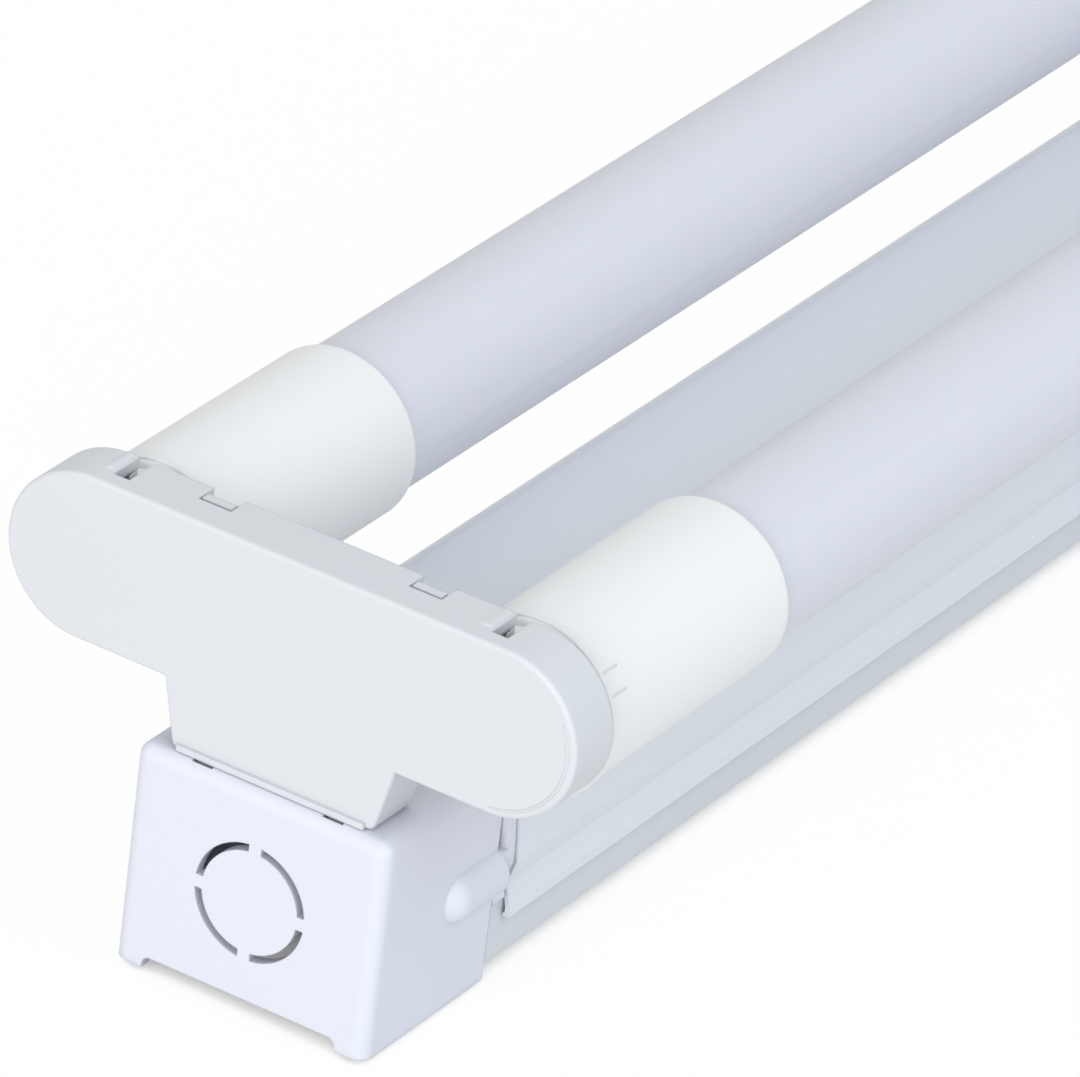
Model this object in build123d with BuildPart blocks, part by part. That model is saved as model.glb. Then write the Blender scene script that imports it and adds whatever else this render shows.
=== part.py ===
from build123d import *
import math
import os

# Twin LED tube batten, in millimetres.
# The mounting face is z = 0, the tubes run along Y and the light leaves upwards.
# A station is a distance from the middle of the fixture towards the near end, which is at minus Y.

os.makedirs("parts", exist_ok=True)

# Tubes
tube_length = 588.0
tube_diameter = 26.0
tube_wall = 1.0
tube_pitch = 67.2
tube_height = 60.2

# Tube end caps and their pins
cap_length = 53.6
cap_diameter = 28.8
cap_overlap = 20.0
cap_fit = 0.1
cap_face = 2.0
cap_cavity_wall = 2.2
cap_edge = 0.7
cap_nose = 3.0
cap_step = 1.2
cap_rim = 0.35
cap_rim_length = 0.9
cap_rim_round = 0.25
cap_groove_angles = (41.0, 26.0)
cap_groove_length = 4.0
cap_groove_width = 0.3
cap_groove_depth = 0.12
pin_diameter = 2.35
pin_spacing = 12.7
pin_length = 7.0
pin_root = 1.0
pin_tip = 0.5
pin_fit = 0.03

# LED board, LEDs and driver of a tube
board_width = 12.0
board_thickness = 1.0
board_fit = 0.15
board_end_gap = 2.0
led_count = 44
led_length = 3.5
led_width = 2.8
led_thickness = 0.7
driver_width = 20.0
driver_thickness = 1.2
driver_length = 26.0
driver_end_gap = 2.0
driver_fit = 0.15
coil_size = 9.0
coil_height = 8.0
capacitor_diameter = 6.5
capacitor_length = 10.0
capacitor_seat = 0.4

# Lampholder shell
lamp_gap = 0.8
holder_depth = 10.2
holder_wall = 1.6
holder_front = 1.8
holder_radius = 13.8
holder_reach = 3.2
holder_rise = 3.1
holder_edge = 0.7
neck_top_width = 41.2
neck_foot_width = 36.0
neck_corner = 1.2
neck_gap = 0.1
flange_height = 1.1
flange_proud = 0.6
pin_slot_width = 2.8
pin_slot_depth = 6.9
lip_radius = 1.6
lip_run = 6.0
lip_proud = 0.25
lip_sink = 0.5
lip_end_gap = 0.2
lip_round = 1.2
notch_place = 18.7
notch_width = 5.8
notch_depth = 4.2
leg_place = 11.7
leg_width = 3.0
leg_drop = 2.4
hook_reach = 0.8
hook_gap = 0.2
wire_hole_width = 6.0
wire_hole_depth = 4.0

# Lampholder back plate
plate_fit = 0.15
plate_thickness = 2.2
plate_recess = 0.3
tab_side_gap = 0.3
tab_slit = 0.5
tab_recess = 2.0

# Socket rotors
rotor_radius = 7.0
rotor_recess = 0.4
rotor_wall_gap = 0.9
rotor_slot = 2.95
rotor_floor_gap = 0.3
rotor_chamfer = 0.4
pivot_radius = 2.4
pivot_fit = 0.1
pivot_end_gap = 0.15
boss_wall = 2.0
boss_gap = 0.15
sweep_gap = 0.35

# Contact strips
strip_thickness = 0.5
strip_width = 3.0
strip_rise = 8.5
blade_gap = 0.25
blade_height = 5.6
blade_width = 5.0
blade_foot = 1.5
tail_width = 5.0
tail_foot = 1.0

# Channel: base tray and cover in folded sheet
sheet = 0.8
tray_width = 45.2
tray_height = 3.0
tray_side = 11.2
tray_bend = 1.2
tray_end_gap = 0.2
cover_height = 43.2
cover_bulge = 48.4
cover_bulge_height = 20.8
cover_bulge_round = 6.0
cover_side_radius = 64.0
cover_waist = 45.8
cover_waist_height = 16.8
cover_width = 47.8
cover_skirt_height = 12.6
cover_lip_height = 11.6
cover_lip_gap = 0.2
cover_shoulder = 4.0
cover_crease = 1.5
cover_corner = 0.9

# End box
box_nose = 2.5
box_depth = 32.7
box_width = 45.4
box_height = 38.4
box_low = 1.2
box_wall = 2.0
box_corner = 2.4
box_edge = 2.2
foot_height = 2.0
foot_width = 5.2
foot_round = 1.4
knockout_height = 19.8
knockout_radius = 9.8
knockout_slot = 1.25
knockout_bridge = 2.2
leg_slot_front = 0.95
leg_slot_fit = 0.3
leg_slot_sink = 2.4
sleeve_reveal = 3.6
sleeve_insert = 10.5
sleeve_bulkhead = 1.8
sleeve_wall = 1.6
sleeve_fit = 0.35
sleeve_corner = 3.0
dome_radius = 4.3
dome_proud = 2.6
dome_height = 20.1
dome_length = 14.3
dome_tip = 0.4
collar_gap = 0.3
collar_inset = 0.4
collar_lift = 0.3
wedge_low = 24.0
wedge_height = 7.5
wedge_width = 1.2
wedge_depth = 2.0

# Mounting slots in the tray
mount_spacing = 400.0
mount_slot_length = 14.0
mount_slot_width = 5.5
pad_length = 34.0
pad_width = 20.0
pad_slope = 45.0
cable_hole_radius = 10.0
cable_hole_station = 80.0
cable_hole_place = -5.0

# Terminal block, earth tag and wires
terminal_station = 130.0
terminal_length = 18.0
terminal_height = 14.0
pole_pitch = 9.0
pole_count = 3
pole_size = 5.0
pole_wall = 2.0
pole_fit = 0.1
pole_end_gap = 1.0
pole_lift = 3.0
wire_bore = 2.4
wire_entry = 5.0
clamp_diameter = 3.0
clamp_spacing = 9.0
clamp_head = 4.2
clamp_head_height = 2.0
clamp_slot = 0.8
clamp_slot_depth = 0.8
screw_fit = 0.05
fix_diameter = 2.4
fix_head_diameter = 5.0
fix_head_height = 1.6
screw_tail = 2.0
earth_station = 98.0
earth_place = 12.0
earth_tag_radius = 4.2
earth_tag_thickness = 0.8
earth_tag_tail = 9.0
earth_tail_width = 4.0
earth_screw_diameter = 4.0
earth_head_diameter = 7.2
earth_head_height = 2.4
wire_diameter = 2.0
wire_bend = 8.0
earth_bend = 5.0
wire_gap = 0.1
wire_lap = 2.0
wire_rise = 24.0

# Stations and places that follow from the sizes above
tube_half = tube_length / 2
tube_radius = tube_diameter / 2
cap_radius = cap_diameter / 2
cap_mouth = tube_half - cap_length
diffuser_half = cap_mouth + cap_overlap
holder_rim = tube_half + lamp_gap
holder_face = holder_rim + holder_depth
holder_inside = holder_face - holder_front
box_front = holder_face + box_nose
box_back = box_front - box_depth
channel_end = box_back - sleeve_reveal
tray_end = box_back - tray_end_gap
sleeve_end = channel_end - sleeve_insert
socket_x = tube_pitch / 2
wing_x = socket_x + holder_reach
wing_z = tube_height + holder_rise
wing_top = wing_z + holder_radius
wing_bottom = wing_z - holder_radius
neck_foot = box_height + neck_gap
floor_top = tray_height + sheet
tray_half = tray_width / 2
tray_top = tray_height + tray_side
pin_reach = pin_spacing / 2 + pin_diameter / 2
blade_x = pin_reach + blade_gap
fix_place = pole_pitch / 2
sides = {"left": -socket_x, "right": socket_x}
ends = {"near": 0, "far": 180}


def save(piece, name):
    """Label a finished piece and write it to its own STEP file."""
    piece.part.label = name
    export_step(piece.part, f"parts/{name}.step")


def save_both_ends(near_piece, name):
    """Write a near-end piece, and the same piece turned round to the far end."""
    for end, turn in ends.items():
        with BuildPart() as placed:
            add(near_piece.part, rotation=(0, 0, turn))
        save(placed, f"{name}_{end}")


def holder_outline(inset):
    """Draw the lampholder's T outline in the current sketch, drawn in all round by inset."""
    top = neck_top_width / 2 - inset
    foot = neck_foot_width / 2 - inset
    with Locations((0, wing_z)):
        SlotCenterToCenter(2 * wing_x, 2 * (holder_radius - inset))
    Polygon(
        (-foot, neck_foot + inset),
        (foot, neck_foot + inset),
        (top, wing_bottom),
        (top, wing_z),
        (-top, wing_z),
        (-top, wing_bottom),
        align=None,
    )


# Base tray: a folded channel with two pressed mounting pads that reach the mounting face
mount_points = [(0, -mount_spacing / 2), (0, mount_spacing / 2)]
pad_draw = 2 * sheet * (1 / math.cos(math.radians(pad_slope)) - math.tan(math.radians(pad_slope)))
with BuildPart() as base_tray:
    with BuildSketch(Plane.XZ.offset(-tray_end)) as tray_section:
        with Locations((0, tray_height)):
            Rectangle(tray_width, tray_side, align=(Align.CENTER, Align.MIN))
        fillet(tray_section.vertices().group_by(Axis.Y)[0], tray_bend)
        offset(amount=-sheet, mode=Mode.SUBTRACT)
        with Locations((0, tray_top)):
            Rectangle(tray_width - 2 * sheet, sheet, align=(Align.CENTER, Align.MAX), mode=Mode.SUBTRACT)
    extrude(amount=2 * tray_end)
    with BuildSketch(Plane.XY):
        with Locations(*mount_points):
            Rectangle(pad_width, pad_length)
    extrude(amount=tray_height, taper=-pad_slope)
    with BuildSketch(Plane.XY.offset(sheet)):
        with Locations(*mount_points):
            Rectangle(pad_width - pad_draw, pad_length - pad_draw)
    extrude(amount=tray_height, taper=-pad_slope, mode=Mode.SUBTRACT)
    with BuildSketch(Plane.XY):
        with Locations(*mount_points):
            SlotOverall(mount_slot_length, mount_slot_width, rotation=90)
    extrude(amount=floor_top, mode=Mode.SUBTRACT)
    with BuildSketch(Plane.XY.offset(tray_height)):
        with Locations((cable_hole_place, -cable_hole_station)):
            Circle(cable_hole_radius)
        with Locations((fix_place, -terminal_station)):
            Circle(fix_diameter / 2 + screw_fit)
        with Locations((earth_place, -earth_station)):
            Circle(earth_screw_diameter / 2 + screw_fit)
    extrude(amount=sheet, mode=Mode.SUBTRACT)
save(base_tray, "base_tray")

# Channel cover: flat top, bulged sides, a waist over the tray, a skirt below it and an inturned lip
lip_x = tray_half + cover_lip_gap
bulge_x = cover_bulge / 2
waist_x = cover_waist / 2
skirt_x = cover_width / 2
lip_low = cover_lip_height - sheet
shoulder_rise = cover_height - cover_bulge_height
shoulder_x = bulge_x - cover_side_radius + math.sqrt(cover_side_radius**2 - shoulder_rise**2)
with BuildSketch() as cover_form:
    with BuildLine():
        RadiusArc((shoulder_x, cover_height), (bulge_x, cover_bulge_height), cover_side_radius)
        Line((bulge_x, cover_bulge_height), (waist_x, cover_waist_height))
        Line((waist_x, cover_waist_height), (skirt_x, cover_skirt_height))
        Line((skirt_x, cover_skirt_height), (skirt_x, lip_low))
        Line((skirt_x, lip_low), (0, lip_low))
        Line((0, lip_low), (0, cover_height))
        Line((0, cover_height), (shoulder_x, cover_height))
    make_face()
    mirror(about=Plane.YZ)
    corners = cover_form.vertices()
    fillet(corners.group_by(Axis.Y)[-1], cover_shoulder)
    fillet(corners.filter_by(lambda corner: abs(corner.Y - cover_bulge_height) < sheet), cover_bulge_round)
    fillet(corners.filter_by(lambda corner: abs(corner.Y - cover_waist_height) < sheet), cover_crease)
    fillet(corners.filter_by(lambda corner: abs(corner.Y - cover_skirt_height) < sheet / 2), cover_corner)
with BuildPart() as channel_cover:
    with BuildSketch(Plane.XZ.offset(-channel_end)):
        add(cover_form.sketch)
        offset(amount=-sheet, mode=Mode.SUBTRACT)
        with Locations((0, lip_low)):
            Rectangle(2 * lip_x, sheet, align=(Align.CENTER, Align.MIN), mode=Mode.SUBTRACT)
    extrude(amount=2 * channel_end)
save(channel_cover, "channel_cover")

# End box: a moulded cover over the wiring, with a sleeve that plugs into the channel
sleeve_half = tray_half - sheet - sleeve_fit
sleeve_low = floor_top + sleeve_fit
sleeve_high = cover_height - sheet - sleeve_fit
sleeve_top_half = shoulder_x - sheet - sleeve_fit
passage_low = sleeve_low + sleeve_wall
passage_high = box_height - box_wall
dome_x = box_width / 2 + dome_proud - dome_radius
collar_end = channel_end + collar_gap
leg_slot_y = -holder_face - leg_slot_front


def sleeve_outline(inset):
    """Draw the sleeve's outline in the current sketch, drawn in all round by inset."""
    low = sleeve_half - inset
    high = sleeve_top_half - inset
    Polygon(
        (-low, sleeve_low + inset),
        (low, sleeve_low + inset),
        (low, cover_bulge_height),
        (high, sleeve_high - inset),
        (-high, sleeve_high - inset),
        (-low, cover_bulge_height),
        align=None,
    )


with BuildPart() as dome:
    with BuildSketch(Plane.XZ.offset(box_back)):
        with Locations((dome_x, dome_height)):
            Circle(dome_radius)
    extrude(amount=dome_length)
    fillet(dome.edges().sort_by(Axis.Y)[0], dome_radius - dome_tip)
with BuildPart() as end_box:
    with BuildSketch(Plane.XY.offset(box_low)) as footprint:
        with Locations((0, -box_back)):
            Rectangle(box_width, box_depth, align=(Align.CENTER, Align.MAX))
        fillet(footprint.vertices().group_by(Axis.Y)[0], box_corner)
    extrude(amount=box_height - box_low)
    top_edges = end_box.faces().sort_by(Axis.Z)[-1].edges()
    fillet(top_edges.sort_by(Axis.Y)[:-1], box_edge)
    with BuildSketch(Plane.XZ.offset(sleeve_end)) as sleeve_section:
        sleeve_outline(0)
        fillet(sleeve_section.vertices().group_by(Axis.Y)[0], sleeve_corner)
        fillet(sleeve_section.vertices().group_by(Axis.Y)[-1], sleeve_corner)
    extrude(amount=box_back - sleeve_end)
    with BuildSketch(Plane.XZ.offset(collar_end)):
        add(cover_form.sketch)
        offset(amount=-collar_inset, mode=Mode.REPLACE)
        Rectangle(2 * cover_width, 2 * (tray_top + collar_lift), mode=Mode.SUBTRACT)
    extrude(amount=box_back - collar_end)
    for side in (-1, 1):
        with BuildSketch(Plane.YZ.offset(side * (box_width / 2 - wedge_depth))):
            Polygon(
                (-box_back, wedge_low),
                (-box_back + wedge_width, wedge_low),
                (-box_back, wedge_low + wedge_height),
                align=None,
            )
        extrude(amount=side * cover_width, mode=Mode.SUBTRACT)
    add(dome.part)
    mirror(dome.part, about=Plane.YZ)
    with BuildSketch(Plane.XY.offset(box_low)):
        with Locations((0, -(box_back + sleeve_bulkhead))):
            Rectangle(
                box_width - 2 * box_wall,
                box_depth - box_wall - sleeve_bulkhead,
                align=(Align.CENTER, Align.MAX),
            )
    extrude(amount=passage_high - box_low, mode=Mode.SUBTRACT)
    with BuildSketch(Plane.XZ.offset(sleeve_end)):
        sleeve_outline(sleeve_wall)
    extrude(amount=box_back - sleeve_bulkhead - sleeve_end, mode=Mode.SUBTRACT)
    with BuildSketch(Plane.XZ.offset(box_back - sleeve_bulkhead)):
        with Locations((0, passage_low)):
            Rectangle(
                2 * (sleeve_top_half - sleeve_wall),
                passage_high - passage_low,
                align=(Align.CENTER, Align.MIN),
            )
    extrude(amount=2 * sleeve_bulkhead, mode=Mode.SUBTRACT)
    with BuildSketch(Plane.XZ.offset(box_front)) as foot_gap:
        with Locations((0, box_low)):
            Rectangle(box_width - 2 * foot_width, foot_height, align=(Align.CENTER, Align.MIN))
        fillet(foot_gap.vertices().group_by(Axis.Y)[-1], foot_round)
    extrude(amount=-2 * box_wall, mode=Mode.SUBTRACT)
    with BuildSketch(Plane.XZ.offset(box_front)):
        with Locations((0, knockout_height)):
            Circle(knockout_radius)
            Circle(knockout_radius - knockout_slot, mode=Mode.SUBTRACT)
            Rectangle(2 * knockout_radius, knockout_bridge, mode=Mode.SUBTRACT)
            Rectangle(knockout_bridge, 2 * knockout_radius, mode=Mode.SUBTRACT)
    extrude(amount=-2 * box_wall, mode=Mode.SUBTRACT)
    with BuildSketch(Plane.XY.offset(box_height)):
        with Locations((-leg_place, leg_slot_y), (leg_place, leg_slot_y)):
            Rectangle(
                leg_width + 2 * leg_slot_fit,
                leg_slot_front + holder_front + hook_reach + leg_slot_fit,
                align=(Align.CENTER, Align.MIN),
            )
        with Locations((0, -holder_inside)):
            Rectangle(wire_hole_width, wire_hole_depth, align=(Align.CENTER, Align.MIN))
    extrude(amount=-leg_slot_sink, mode=Mode.SUBTRACT)
save_both_ends(end_box, "end_box")

# Lampholder shell: a T-shaped cup, open to the tube, with a pin slot over each socket
boss_height = rotor_wall_gap - boss_gap
lip_z = wing_top + lip_proud - lip_radius
lip_bars = []
for x in sides.values():
    nose = x - pin_slot_width / 2 - lip_radius
    root = nose - lip_run
    beyond = max(0, abs(root) - wing_x)
    root_top = wing_z + math.sqrt(holder_radius**2 - beyond**2) - lip_sink
    lip_bars.append(((nose, lip_z), ((nose + root) / 2, (lip_z + root_top - lip_radius) / 2)))
with BuildPart() as lips:
    with BuildSketch(Plane.XZ.offset(holder_rim)):
        for nose, middle in lip_bars:
            SlotCenterPoint(middle, nose, 2 * lip_radius)
    extrude(amount=pin_slot_depth - lip_end_gap)
    fillet(lips.edges().group_by(Axis.Y)[0], lip_round)
with BuildPart() as holder_shell:
    with BuildSketch(Plane.XZ.offset(holder_rim)) as shell_outline:
        holder_outline(0)
        fillet(shell_outline.vertices().group_by(Axis.Y)[0], neck_corner)
    extrude(amount=holder_depth)
    fillet(holder_shell.faces().sort_by(Axis.Y)[0].edges(), holder_edge)
    with BuildSketch(Plane.XZ.offset(holder_rim)):
        holder_outline(holder_wall)
    extrude(amount=holder_depth - holder_front, mode=Mode.SUBTRACT)
    with BuildSketch(Plane.XZ.offset(holder_rim)):
        for x in sides.values():
            with Locations((x, wing_z)):
                Rectangle(pin_slot_width, holder_radius + lip_radius, align=(Align.CENTER, Align.MIN))
    extrude(amount=pin_slot_depth, mode=Mode.SUBTRACT)
    add(lips.part)
    with BuildSketch(Plane.XZ.offset(holder_rim)):
        with Locations((-notch_place, wing_z), (notch_place, wing_z)):
            Rectangle(notch_width, holder_radius, align=(Align.CENTER, Align.MIN))
    extrude(amount=notch_depth, mode=Mode.SUBTRACT)
    with BuildSketch(Plane.XZ.offset(holder_inside)):
        for x in sides.values():
            with Locations((x, tube_height)):
                Circle(pivot_radius + pivot_fit + boss_wall)
                Circle(pivot_radius + pivot_fit, mode=Mode.SUBTRACT)
    extrude(amount=-boss_height)
    with BuildSketch(Plane.XY.offset(neck_foot)):
        with Locations((0, -holder_inside)):
            Rectangle(
                neck_foot_width - 2 * neck_corner,
                holder_front + flange_proud,
                align=(Align.CENTER, Align.MAX),
            )
    extrude(amount=flange_height)
    with BuildSketch(Plane.XY.offset(neck_foot + holder_wall)):
        with Locations((-leg_place, -holder_inside), (leg_place, -holder_inside)):
            Rectangle(leg_width, holder_front - hook_gap, align=(Align.CENTER, Align.MAX))
    extrude(amount=-(neck_gap + holder_wall + box_wall + leg_drop))
    with BuildSketch(Plane.XY.offset(box_height - box_wall - hook_gap)):
        with Locations((-leg_place, -holder_inside), (leg_place, -holder_inside)):
            Rectangle(leg_width, hook_reach, align=(Align.CENTER, Align.MIN))
    extrude(amount=-(leg_drop - hook_gap))
    with BuildSketch(Plane.XY.offset(neck_foot)):
        with Locations((0, -holder_inside)):
            Rectangle(wire_hole_width, wire_hole_depth, align=(Align.CENTER, Align.MIN))
    extrude(amount=holder_wall, mode=Mode.SUBTRACT)
save_both_ends(holder_shell, "holder_shell")

# Lampholder back plate: keyhole sockets, and two tabs that snap into the shell's top wall
plate_face = holder_rim + plate_recess
tab_reach = notch_depth - tab_slit
with BuildPart() as holder_plate:
    with BuildSketch(Plane.XZ.offset(plate_face)):
        holder_outline(holder_wall + plate_fit)
        for x in sides.values():
            with Locations((x, tube_height)):
                Circle(pin_reach + sweep_gap, mode=Mode.SUBTRACT)
                Rectangle(
                    pin_slot_width,
                    holder_rise + holder_radius,
                    align=(Align.CENTER, Align.MIN),
                    mode=Mode.SUBTRACT,
                )
        for nose, middle in lip_bars:
            SlotCenterPoint(middle, nose, 2 * (lip_radius + plate_fit), mode=Mode.SUBTRACT)
    extrude(amount=plate_thickness)
    with BuildSketch(Plane.XZ.offset(holder_rim + tab_recess)):
        with Locations((-notch_place, wing_top), (notch_place, wing_top)):
            Rectangle(
                notch_width - 2 * tab_side_gap,
                2 * holder_wall,
                align=(Align.CENTER, Align.MAX),
            )
    extrude(amount=tab_reach - tab_recess)
save_both_ends(holder_plate, "holder_plate")

# Socket rotor: a slotted drum on a short pivot, turned by the tube's pins
rotor_face = holder_rim + rotor_recess
rotor_back = holder_inside - rotor_wall_gap
slot_floor = tube_half + pin_length + rotor_floor_gap
with BuildPart() as rotor:
    with BuildSketch(Plane.XZ.offset(rotor_face)):
        Circle(rotor_radius)
    extrude(amount=rotor_back - rotor_face)
    chamfer(rotor.edges().filter_by(GeomType.CIRCLE), rotor_chamfer)
    with BuildSketch(Plane.XZ.offset(rotor_face)):
        Rectangle(2 * rotor_radius, rotor_slot)
    extrude(amount=slot_floor - rotor_face, mode=Mode.SUBTRACT)
    with BuildSketch(Plane.XZ.offset(rotor_back)):
        Circle(pivot_radius)
    extrude(amount=rotor_wall_gap - pivot_end_gap)
for end, turn in ends.items():
    for side, x in sides.items():
        with BuildPart() as socket_rotor:
            with Locations((x, 0, tube_height)):
                add(rotor.part, rotation=(0, 0, turn))
        save(socket_rotor, f"rotor_{side}_{end}")

# Contact strip: a brass bus on the shell inside, with a blade by each pin and a tail in the neck
strip_low = tube_height + strip_rise
strip_high = strip_low + strip_width
with BuildPart() as contact_strip:
    with BuildSketch(Plane.XZ.offset(holder_inside)):
        with Locations((0, strip_low)):
            Rectangle(
                2 * (socket_x + blade_x + blade_foot),
                strip_width,
                align=(Align.CENTER, Align.MIN),
            )
        with Locations((0, neck_foot + holder_wall + tail_foot)):
            Rectangle(
                tail_width,
                strip_high - neck_foot - holder_wall - tail_foot,
                align=(Align.CENTER, Align.MIN),
            )
        for x in sides.values():
            for way in (-1, 1):
                with Locations((x + way * (blade_x + blade_foot / 2), strip_high)):
                    Rectangle(
                        blade_foot,
                        strip_high - tube_height + blade_width / 2,
                        align=(Align.CENTER, Align.MAX),
                    )
    extrude(amount=-strip_thickness)
    with BuildSketch(Plane.XZ.offset(holder_inside)):
        for x in sides.values():
            for way in (-1, 1):
                with Locations((x + way * (blade_x + strip_thickness / 2), tube_height)):
                    Rectangle(strip_thickness, blade_width)
    extrude(amount=-blade_height)
save_both_ends(contact_strip, "contact_strip")

# Tube end cap: slips over the tube, with a cavity for the driver behind its stepped nose
cap_shoulder = tube_half - cap_nose
rim_front = cap_shoulder - cap_edge
with BuildPart() as end_cap:
    with BuildSketch(Plane.XZ.offset(cap_mouth)):
        Circle(cap_radius)
    extrude(amount=cap_shoulder - cap_mouth)
    fillet(end_cap.edges().filter_by(GeomType.CIRCLE), cap_edge)
    with BuildSketch(Plane.XZ.offset(rim_front)):
        Circle(cap_radius + cap_rim)
    extrude(amount=-cap_rim_length)
    fillet(end_cap.edges().filter_by(GeomType.CIRCLE).sort_by(SortBy.RADIUS)[-2:], cap_rim_round)
    with BuildSketch(Plane.XZ.offset(rim_front)):
        Circle(cap_radius - cap_step)
    extrude(amount=cap_edge + cap_nose)
    fillet(end_cap.edges().sort_by(Axis.Y)[0], cap_edge)
    with BuildSketch(Plane.XZ.offset(cap_mouth)):
        Circle(tube_radius + cap_fit)
    extrude(amount=cap_overlap, mode=Mode.SUBTRACT)
    with BuildSketch(Plane.XZ.offset(cap_mouth)):
        Circle(cap_radius - cap_cavity_wall)
    extrude(amount=cap_length - cap_face, mode=Mode.SUBTRACT)
    with BuildSketch(Plane.XZ.offset(tube_half)):
        with Locations((-pin_spacing / 2, 0), (pin_spacing / 2, 0)):
            Circle(pin_diameter / 2 + pin_fit)
    extrude(amount=-cap_face, mode=Mode.SUBTRACT)
    for angle in cap_groove_angles:
        with BuildSketch(Plane.XZ.offset(rim_front - cap_rim_length)):
            with PolarLocations(cap_radius, 1, start_angle=angle):
                Rectangle(2 * cap_groove_depth, cap_groove_width)
        extrude(amount=-cap_groove_length, mode=Mode.SUBTRACT)

# Pins of one cap, a pair of separate solids
with BuildPart() as pin_pair:
    with BuildSketch(Plane.XZ.offset(tube_half - cap_face - pin_root)):
        with Locations((-pin_spacing / 2, 0), (pin_spacing / 2, 0)):
            Circle(pin_diameter / 2)
    extrude(amount=cap_face + pin_root + pin_length)
    fillet(pin_pair.edges().group_by(Axis.Y)[0], pin_tip)

# Diffuser: the frosted tube
with BuildPart() as diffuser:
    with BuildSketch(Plane.XZ.offset(-diffuser_half)):
        Circle(tube_radius)
        Circle(tube_radius - tube_wall, mode=Mode.SUBTRACT)
    extrude(amount=2 * diffuser_half)

# LED board: lies along the bottom of the tube, held by its two edges
tube_bore = tube_radius - tube_wall - board_fit
board_low = -math.sqrt(tube_bore**2 - (board_width / 2) ** 2)
board_length = 2 * (diffuser_half - board_end_gap)
with BuildPart() as led_board:
    with Locations((0, 0, board_low)):
        Box(
            board_width,
            board_length,
            board_thickness,
            align=(Align.CENTER, Align.CENTER, Align.MIN),
        )

# LEDs: one row of separate packages along the board
led_pitch = board_length / led_count
with BuildPart() as leds:
    with Locations((0, 0, board_low + board_thickness)):
        with GridLocations(led_pitch, led_pitch, 1, led_count):
            Box(
                led_width,
                led_length,
                led_thickness,
                align=(Align.CENTER, Align.CENTER, Align.MIN),
            )

# Driver: a board with its coil and capacitor, in the near cap's cavity
cavity_bore = cap_radius - cap_cavity_wall - driver_fit
driver_low = -math.sqrt(cavity_bore**2 - (driver_width / 2) ** 2)
driver_front = tube_half - cap_face - driver_end_gap
driver_top = driver_low + driver_thickness
with BuildPart() as driver:
    with Locations((0, -driver_front, driver_low)):
        Box(
            driver_width,
            driver_length,
            driver_thickness,
            align=(Align.CENTER, Align.MIN, Align.MIN),
        )
    with Locations((0, -driver_front + driver_length / 4, driver_top)):
        Box(coil_size, coil_size, coil_height, align=(Align.CENTER, Align.CENTER, Align.MIN))
    with BuildSketch(Plane.XZ.offset(driver_front - driver_length / 2)):
        with Locations((0, driver_top - capacitor_seat + capacitor_diameter / 2)):
            Circle(capacitor_diameter / 2)
    extrude(amount=-capacitor_length)

tube_pieces = {"diffuser": diffuser, "led_board": led_board, "leds": leds, "driver": driver}
for side, x in sides.items():
    for name, piece in tube_pieces.items():
        with BuildPart() as tube_piece:
            with Locations((x, 0, tube_height)):
                add(piece.part)
        save(tube_piece, f"{side}_{name}")
    for end, turn in ends.items():
        for name, piece in {"end_cap": end_cap, "pins": pin_pair}.items():
            with BuildPart() as tube_end:
                with Locations((x, 0, tube_height)):
                    add(piece.part, rotation=(0, 0, turn))
            save(tube_end, f"{side}_{name}_{end}")

# Terminal block: a moulded body with three poles, held to the tray by one screw
pole_places = [(i - (pole_count - 1) / 2) * pole_pitch for i in range(pole_count)]
terminal_width = pole_count * pole_pitch + 2 * pole_wall
pole_low = floor_top + pole_lift
pole_middle = pole_low + pole_size / 2
pole_top = pole_low + pole_size
terminal_top = floor_top + terminal_height
terminal_near = terminal_station + terminal_length / 2
terminal_far = terminal_station - terminal_length / 2
pole_length = terminal_length - 2 * pole_end_gap
clamp_places = [
    (x, -terminal_station + way * clamp_spacing / 2)
    for x in pole_places
    for way in (-1, 1)
]
with BuildPart() as terminal_block:
    with Locations((0, -terminal_station, floor_top)):
        Box(
            terminal_width,
            terminal_length,
            terminal_height,
            align=(Align.CENTER, Align.CENTER, Align.MIN),
        )
    with BuildSketch(Plane.XZ.offset(terminal_far)):
        with Locations(*[(x, pole_middle) for x in pole_places]):
            Rectangle(pole_size + 2 * pole_fit, pole_size + 2 * pole_fit)
    extrude(amount=terminal_length, mode=Mode.SUBTRACT)
    with BuildSketch(Plane.XY.offset(terminal_top)):
        with Locations(*clamp_places):
            Circle(clamp_head / 2 + pole_fit)
    extrude(amount=-(terminal_top - pole_middle), mode=Mode.SUBTRACT)
    with BuildSketch(Plane.XY.offset(floor_top)):
        with Locations((fix_place, -terminal_station)):
            Circle(fix_diameter / 2 + screw_fit)
    extrude(amount=terminal_height, mode=Mode.SUBTRACT)
save(terminal_block, "terminal_block")

# Brass inserts of the poles, with a wire bore along each and two threaded holes from above
with BuildPart() as terminal_inserts:
    with Locations(*[(x, -terminal_station, pole_middle) for x in pole_places]):
        Box(pole_size, pole_length, pole_size)
    with BuildSketch(Plane.XZ.offset(terminal_far)):
        with Locations(*[(x, pole_middle) for x in pole_places]):
            Circle(wire_bore / 2)
    extrude(amount=terminal_length, mode=Mode.SUBTRACT)
    with BuildSketch(Plane.XY.offset(pole_top)):
        with Locations(*clamp_places):
            Circle(clamp_diameter / 2 + screw_fit)
    extrude(amount=-pole_size / 2, mode=Mode.SUBTRACT)
save(terminal_inserts, "terminal_inserts")

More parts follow.
